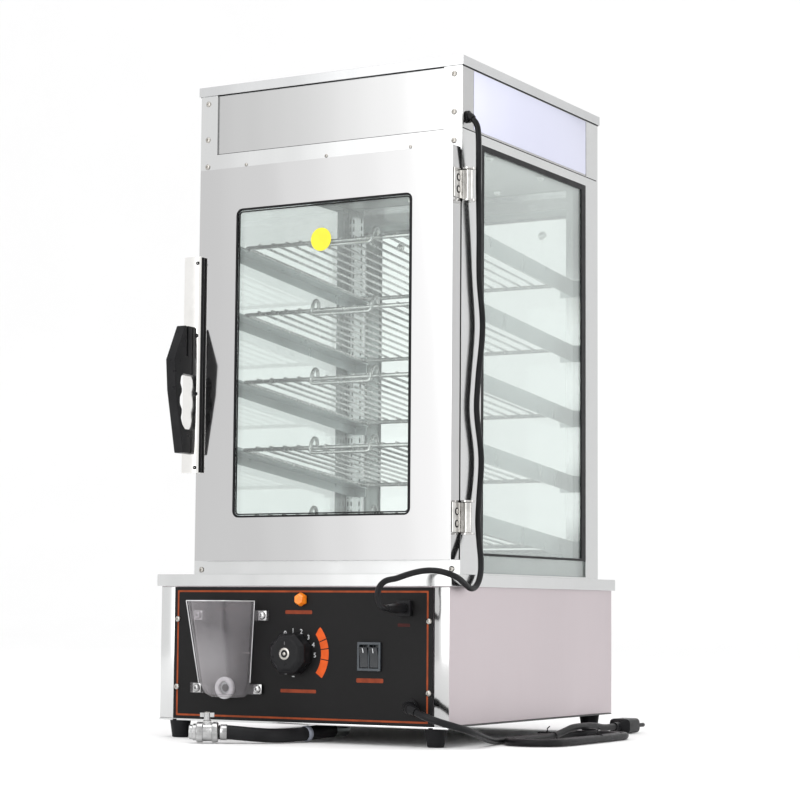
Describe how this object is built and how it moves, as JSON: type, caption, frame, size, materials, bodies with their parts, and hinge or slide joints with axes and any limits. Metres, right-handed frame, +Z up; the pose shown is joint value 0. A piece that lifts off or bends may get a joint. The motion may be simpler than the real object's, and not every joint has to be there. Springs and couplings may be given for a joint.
{
  "type": "heated display case",
  "caption": "Glazed steel countertop steam warmer with sloped wire racks, hinged glass door, lamp head, and a water base with filler hopper, dial, rockers and drain hose.",
  "frame": {"origin": "on the table plane, under the middle of the box round the standing case without its cords and hose", "axes": "+X to the right seen from the front, +Y from the front to the back, +Z up"},
  "size_m": [0.4564, 0.5097, 0.742],
  "materials": {
    "steel": "polished sheet",
    "wire": "plated wire",
    "glass": "clear toughened",
    "chrome": "bright",
    "black_plastic": "moulded satin",
    "rubber": "dull",
    "clear_plastic": "clear moulded",
    "amber_plastic": "clear lens",
    "lamp_glass": "opal"
  },
  "bodies": {
    "case": {"base_housing": "steel", "base_top_plate": "steel", "base_bottom_plate": "steel", "control_panel": "steel", "water_tank": "steel", "heating_element": "steel", "cabinet_frame": "steel", "head_shell": "steel", "top_lid": "steel", "ceiling_panel": "steel", "upper_hinge_bracket": "steel", "lower_hinge_bracket": "steel", "left_rail_1": "steel", "right_rail_1": "steel", "left_rail_2": "steel", "right_rail_2": "steel", "left_rail_3": "steel", "right_rail_3": "steel", "left_rail_4": "steel", "right_rail_4": "steel", "left_rail_5": "steel", "right_rail_5": "steel", "left_glass": "glass", "right_glass": "glass", "rear_glass": "glass", "drain_valve": "chrome", "thermostat_body": "black_plastic", "rocker_housing": "black_plastic", "lamp_socket": "black_plastic", "lamp_plug": "black_plastic", "mains_gland": "black_plastic", "lamp_gland": "black_plastic", "mains_plug": "black_plastic", "lamp_cord": "rubber", "mains_cord_lead": "rubber", "mains_cord_hank": "rubber", "drain_hose": "rubber", "foot_front_left": "rubber", "foot_front_right": "rubber", "foot_rear_left": "rubber", "foot_rear_right": "rubber", "filler_hopper": "clear_plastic", "indicator_lamp": "amber_plastic", "ceiling_lamp": "lamp_glass"},
    "door": {"door_frame": "steel", "door_glass": "glass", "door_gasket": "rubber", "handle_bar": "chrome", "handle_grip": "black_plastic", "upper_hinge_leaf": "steel", "lower_hinge_leaf": "steel"},
    "knob": {"thermostat_knob": "black_plastic"},
    "left_rocker": {"rocker_left": "black_plastic"},
    "right_rocker": {"rocker_right": "black_plastic"},
    "lever": {"drain_lever": "chrome"},
    "shelf_1": {"rack_1": "wire"},
    "shelf_2": {"rack_2": "wire"},
    "shelf_3": {"rack_3": "wire"},
    "shelf_4": {"rack_4": "wire"},
    "shelf_5": {"rack_5": "wire"}
  },
  "joints": [
    {"name": "front_door_hinge", "type": "hinge", "parent": "case", "child": "door", "pos_m": [0.177, -0.13045, 0.418], "axis": [0, 0, 1], "range_deg": [0, 110]},
    {"name": "thermostat_turn", "type": "hinge", "parent": "case", "child": "knob", "pos_m": [-0.006, -0.18155, 0.0945], "axis": [0, 1, 0], "range_deg": [0, 300]},
    {"name": "left_rocker_press", "type": "hinge", "parent": "case", "child": "left_rocker", "pos_m": [0.0823, -0.17845, 0.0928], "axis": [-1, 0, 0], "range_deg": [0, 16]},
    {"name": "right_rocker_press", "type": "hinge", "parent": "case", "child": "right_rocker", "pos_m": [0.0945, -0.17845, 0.0928], "axis": [-1, 0, 0], "range_deg": [0, 16]},
    {"name": "drain_lever_turn", "type": "hinge", "parent": "case", "child": "lever", "pos_m": [-0.06997, -0.2516, 0.026], "axis": [0, 0, 1], "range_deg": [0, 90]},
    {"name": "shelf_1_slide", "type": "slide", "parent": "case", "child": "shelf_1", "axis": [0, -0.9952, 0.0976], "range_m": [0, 0.028]},
    {"name": "shelf_2_slide", "type": "slide", "parent": "case", "child": "shelf_2", "axis": [0, -0.9952, 0.0976], "range_m": [0, 0.028]},
    {"name": "shelf_3_slide", "type": "slide", "parent": "case", "child": "shelf_3", "axis": [0, -0.9952, 0.0976], "range_m": [0, 0.028]},
    {"name": "shelf_4_slide", "type": "slide", "parent": "case", "child": "shelf_4", "axis": [0, -0.9952, 0.0976], "range_m": [0, 0.028]},
    {"name": "shelf_5_slide", "type": "slide", "parent": "case", "child": "shelf_5", "axis": [0, -0.9952, 0.0976], "range_m": [0, 0.028]}
  ]
}
